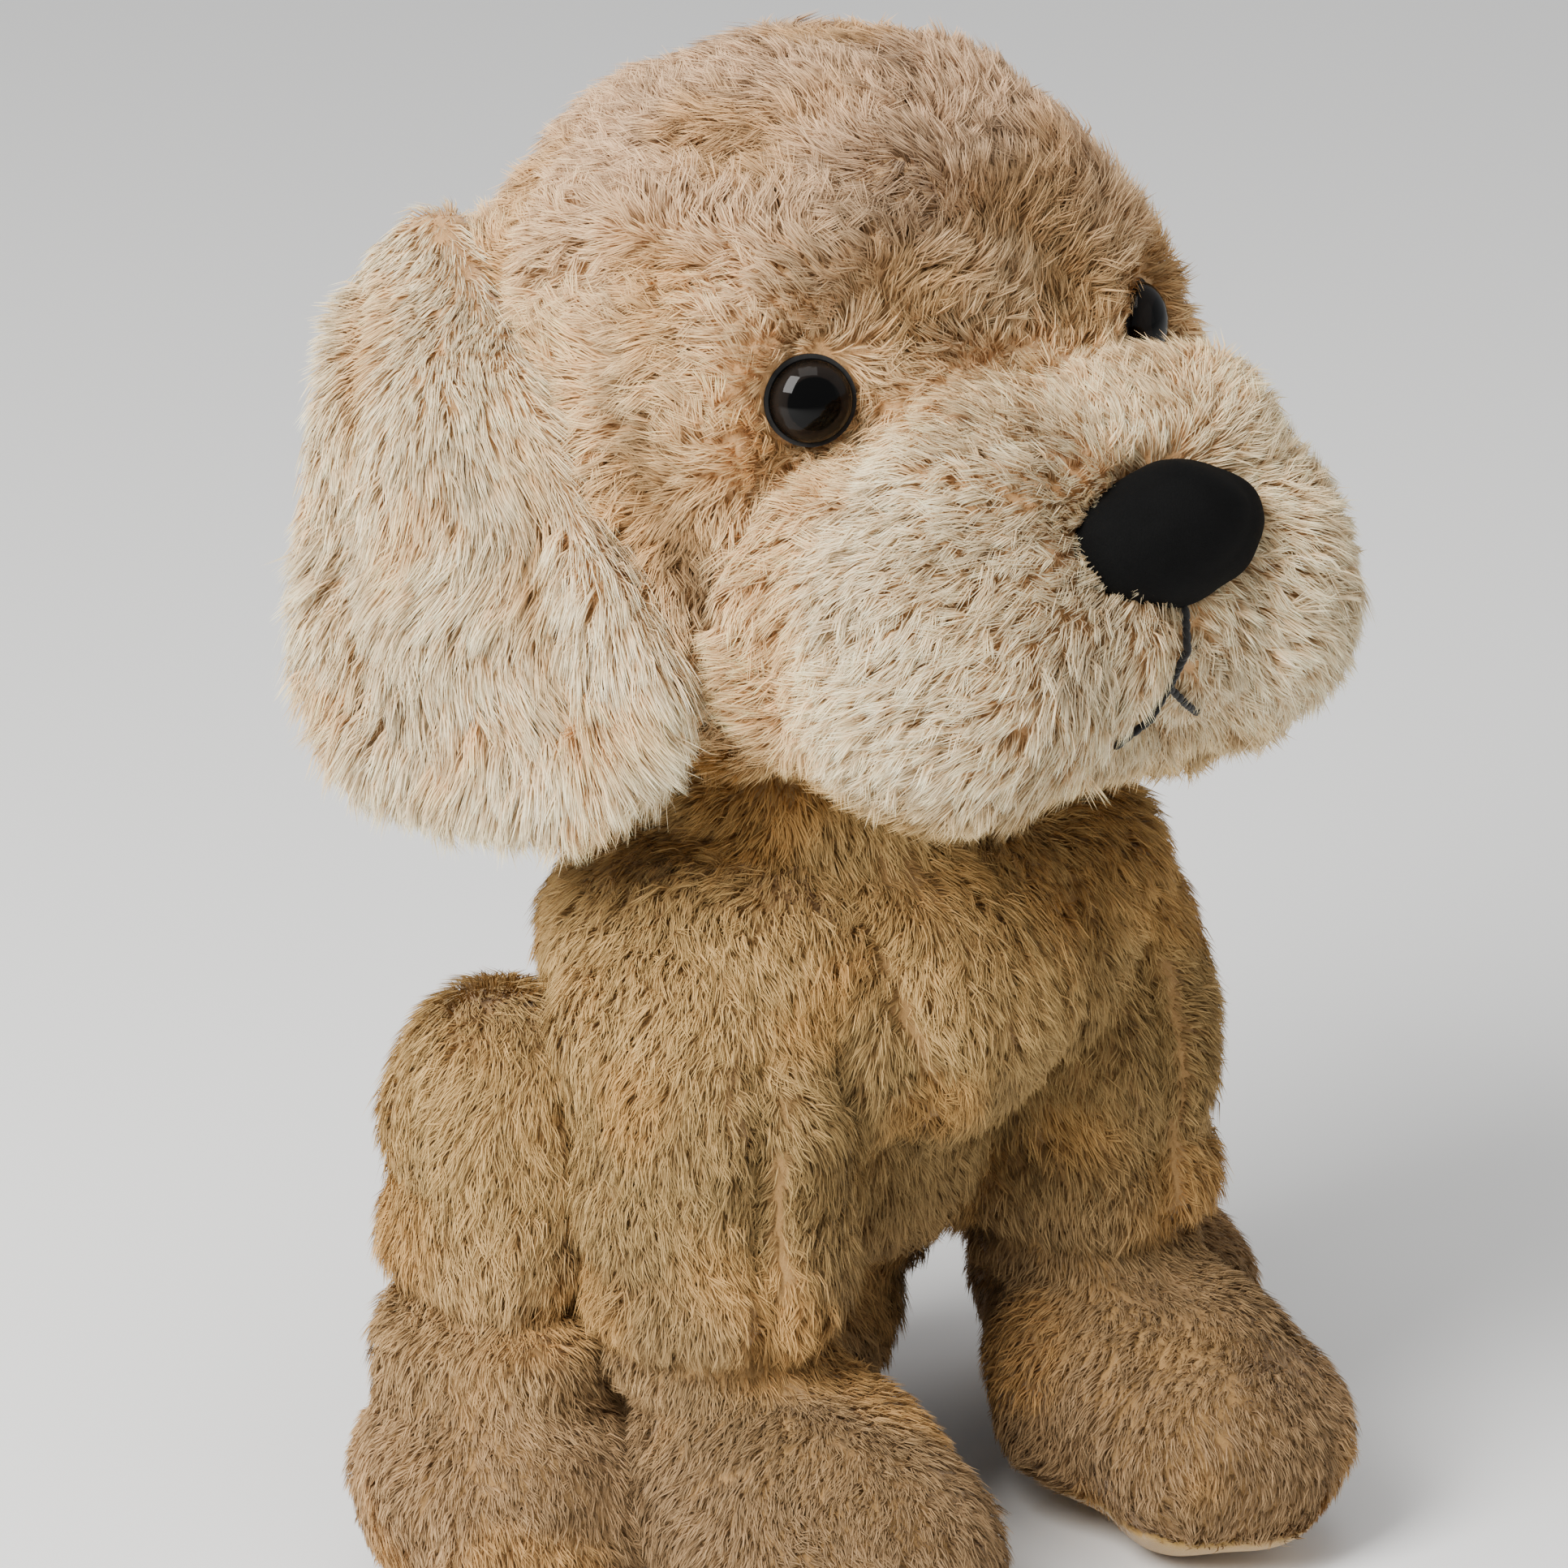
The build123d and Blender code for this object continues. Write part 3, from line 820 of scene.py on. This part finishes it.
def body_colour(root):
    low = fade(120 - root[:, 2], 0, 80)
    gold = fade(waves(root, 50.0, 47), 0.1, 0.9) * 0.5
    # painted shade: the fur is darker on the front of the body below the head, the chest and forelegs most
    front = 1 - 0.3 * (fade(-root[:, 1], -10, 50) * fade(158 - root[:, 2], 0, 30))[:, None]
    base, tip = between(KHAKI_ROOT, BROWN_ROOT, low) * front, between(KHAKI_TIP, BROWN_TIP, low) * front
    return base + (GOLD_ROOT - base) * gold[:, None], tip + (GOLD_TIP - tip) * gold[:, None]


TORSO_SEAMS = [[(0, 70, 160), (0, 76, 120), (0, 82, 80)]]
TORSO_SEAMS += [[(s * 30, -50, 170), (s * 26, -66, 120), (s * 24, -48, 70)] for s, _ in SIDES]


def make_torso():
    lumps = [
        lump((0, 1, 144), (69, 66, 45)),
        lump((0, 16, 108), (63, 54, 46)),
        lump((0, 42, 42), (40, 41, 41)),
        lump((0, 34, 80), (47, 42, 38)),
        lump((0, 4, 188), (52, 46, 26)),
        lump((44, -8, 156), (36, 42, 28)),
        lump((-44, -8, 156), (36, 42, 28)),
        lump((42, 42, 76), (22, 24, 42)),
        lump((-42, 42, 76), (22, 24, 42)),
    ]
    obj = merged("body_skin", lumps, 3.4, 10)
    points, normals = points_of(obj.data), normals_of(obj.data)
    points += normals * (1.6 * waves(points, 65.0, 31))[:, None]
    for path in TORSO_SEAMS:
        points = crease(points, normals, path, 3.5, 5.0)
    points[:, 2] = np.maximum(points[:, 2], 1.0)
    move_points(obj.data, points)
    finish_skin(obj, "torso", MATERIALS["skin_body"], bodies_nodes("torso", "pellet"))

    def lay(root, normal):
        return np.column_stack([0.25 * root[:, 0] / 60, np.full(len(root), 0.1), np.full(len(root), -1.0)])

    def where(root):
        """None under the seat, and less where the neck or the legs cover it."""
        hidden = (root[:, 2] > 196) | ((np.abs(root[:, 0]) > 44) & (root[:, 2] < 120))
        return ((root[:, 2] > 3) & (root[:, 2] < 206)) * np.where(hidden, 0.5, 1.0)

    grow("body_fur", obj, "torso", 51, lay, lambda root: np.full(len(root), 9.0), body_colour,
         where=where, partings=TORSO_SEAMS, lift=0.75, swirl=0.7)


def make_neck():
    obj = merged("neck_skin", [lump((0, 4, 200), (34, 34, 30)), lump((0, 4, 180), (30, 30, 26))], 3.5, 6)
    finish_skin(obj, "neck", MATERIALS["skin_body"], bodies_nodes("neck"))


LEGS = {
    "foreleg": dict(
        lumps=[((57, -18, 138), (34, 34, 33)), ((61, -27, 112), (31.5, 32, 46)), ((61, -29, 82), (31, 32, 34)),
               ((59, -56, 34), (33, 44, 31)), ((59, -78, 29), (32, 32, 27)), ((60, -44, 38), (31, 33, 32))],
        seams=[[(62, -66, 150), (62, -64, 110), (62, -62, 76)]],
        middle=(60, -64, 31), ankle=72),
    "hindleg": dict(
        lumps=[((73, 42, 90), (15, 15, 38)), ((86, 20, 115), (26, 30, 31)), ((90, 18, 86), (25, 28, 36)), ((95, 13, 58), (26, 30, 30)),
               ((101, 6, 31), (31, 36, 29)), ((101, -8, 28), (29, 28, 26))],
        seams=[[(84, -12, 130), (80, -14, 100), (78, -12, 76)]], middle=(102, 4, 30), ankle=77),
}


def make_leg(kind, s, word):
    plan = LEGS[kind]
    mirror = np.array((s, 1, 1))
    # The left legs stand a little further in than the right ones.
    shift = np.array({("foreleg", 1): (-8.0, 0, 0), ("hindleg", 1): (-6.0, 4.0, 0)}.get((kind, s), (0, 0, 0)))
    lumps = [lump(np.array(c) * mirror + shift, radii) for c, radii in plan["lumps"]]
    obj = merged(f"{kind}_{word}_skin", lumps, 2.8, 7)
    points, normals = points_of(obj.data), normals_of(obj.data)
    seams = [[q - (10 * (kind == "foreleg"), 0, 0) for q in mirrored(seam, s)] for seam in plan["seams"]]
    for seam in seams:
        points = crease(points, normals, seam, 5.5, 4.5)
    points -= normals * (5.5 * bell(points[:, 2] - plan["ankle"], 5.0))[:, None]
    points += normals * (1.5 * waves(points, 42.0, 61))[:, None]
    points[:, 2] = np.maximum(points[:, 2], 1.2)
    move_points(obj.data, points)
    nodes = [n for n in bodies_nodes(f"{kind}_{word}") if not n.endswith("_sole")]
    finish_skin(obj, f"{kind}_{word}", MATERIALS["skin_body"], nodes)

    middle = np.array(plan["middle"]) * mirror

    def lay(root, normal):
        out = root - middle
        foot = np.column_stack([0.8 * out[:, 0] / 30, 0.8 * out[:, 1] / 40 - 0.2, np.full(len(root), -0.6)])
        leg = np.tile(np.array((0.3 * s, -0.3, -1.0)), (len(root), 1))
        share = fade(plan["ankle"] - root[:, 2], -4, 14)[:, None]
        return leg * (1 - share) + foot * share

    def where(root):
        """None on the sole, and less on the side that lies against the body."""
        inner = s * root[:, 0] < (44 if kind == "foreleg" else 74)
        return (root[:, 2] > SOLE_TOP - 2) * np.where(inner, 0.6, 1.0)

    grow(f"{kind}_{word}_fur", obj, f"{kind}_{word}", 70 + 3 * s + (kind == "hindleg"), lay,
         lambda root: 8.5 - 2.0 * fade(80 - root[:, 2], 0, 16) - 1.5 * fade(30 - root[:, 2], 0, 16), body_colour,
         where=where, partings=seams, lift=0.7, swirl=0.45, lock=1.8, clump=0.32)
    make_sole(obj, kind, s, word)


def make_sole(skin, kind, s, word):
    """Velour sole: the underside of the foot, a little proud of the skin, with a seam round it."""
    shape = bmesh.new()
    shape.from_mesh(skin.data)
    high = [f for f in shape.faces if f.calc_center_median().z > SOLE_TOP * MM]
    bmesh.ops.delete(shape, geom=high, context="FACES")
    mesh = bpy.data.meshes.new(f"{kind}_{word}_sole_pad")
    shape.to_mesh(mesh)
    shape.free()
    mesh.transform(skin.matrix_world)
    obj = bpy.data.objects.new(mesh.name, mesh)
    bpy.context.scene.collection.objects.link(obj)
    thick = obj.modifiers.new("cloth", "SOLIDIFY")
    thick.thickness = 2.0 * MM
    thick.offset = 0.6
    soft = obj.modifiers.new("soft", "SUBSURF")
    soft.levels = soft.render_levels = 1
    apply_modifiers(obj)
    points = points_of(obj.data)
    points[:, 2] = np.maximum(points[:, 2], 0.15)
    move_points(obj.data, points)
    finish_skin(obj, f"{kind}_{word}", MATERIALS["sole"], [f"{kind}_{word}_sole"])


def make_tail():
    p = PILE - 3
    lumps = [lump((0, 86, 40), (16 - p, 16 - p, 16 - p)), lump((0, 98, 48), (14 - p, 20 - p, 14 - p), (40, 0, 0)),
             lump((0, 110, 57), (12 - p, 17 - p, 12 - p), (42, 0, 0))]
    obj = merged("tail_skin", lumps, 1.8, 5)
    finish_skin(obj, "tail", MATERIALS["skin_body"], bodies_nodes("tail"))

    def lay(root, normal):
        return np.tile(np.array((0, 0.8, 0.5)), (len(root), 1))

    grow("tail_fur", obj, "tail", 91, lay, lambda root: np.full(len(root), 11.0), body_colour,
         lift=0.55, swirl=0.2)


def paint_inner_parts():
    """Posts, washers, pellets and their bag keep their CAD shape and get cloth or plastic."""
    for name, obj in frame["nodes"].items():
        if obj.hide_render:
            continue
        kind = "plastic_dark" if "shank" in name else "plastic_pale" if "washer" in name else None
        kind = kind or ("bag" if name == "pellet_bag" else "pellets")
        obj.data.materials.clear()
        obj.data.materials.append(MATERIALS[kind])


make_camera()
make_stage()
MATERIALS = {
    "fur": fur_material(),
    "skin": cloth_material("fur_backing", srgb(176, 132, 84), srgb(200, 160, 110)),
    "skin_body": cloth_material("fur_backing_body", srgb(140, 106, 62), srgb(166, 130, 80)),
    "eye": eye_material(),
    "nose": cloth_material("nose_velour", (0.001, 0.001, 0.001), (0.004, 0.004, 0.004), 2600.0, 0.0004, 0.0, 0.1),
    "thread": cloth_material("mouth_thread", (0.003, 0.003, 0.003), (0.012, 0.011, 0.010), 3000.0, 0.0003, 0.2),
    "sole": cloth_material("sole_velour", srgb(150, 116, 62), srgb(178, 144, 84), 2200.0, 0.0005, 0.4),
    "plastic_dark": cloth_material("moulded_black", (0.01, 0.01, 0.01), (0.02, 0.02, 0.02), 500.0, 0.0002, 0.0),
    "plastic_pale": cloth_material("moulded_white", (0.7, 0.7, 0.66), (0.78, 0.78, 0.74), 500.0, 0.0002, 0.0),
    "bag": cloth_material("bag_cloth", (0.6, 0.58, 0.52), (0.74, 0.72, 0.66), 1800.0, 0.0004, 0.1),
    "pellets": cloth_material("pellets", (0.55, 0.58, 0.6), (0.75, 0.78, 0.8), 400.0, 0.001, 0.0),
}
make_head()
make_eyes()
make_nose()
make_mouth()
make_neck()
make_torso()
make_tail()
for side, side_word in SIDES:
    make_ear(side, side_word)
    make_leg("foreleg", side, side_word)
    make_leg("hindleg", side, side_word)
paint_inner_parts()
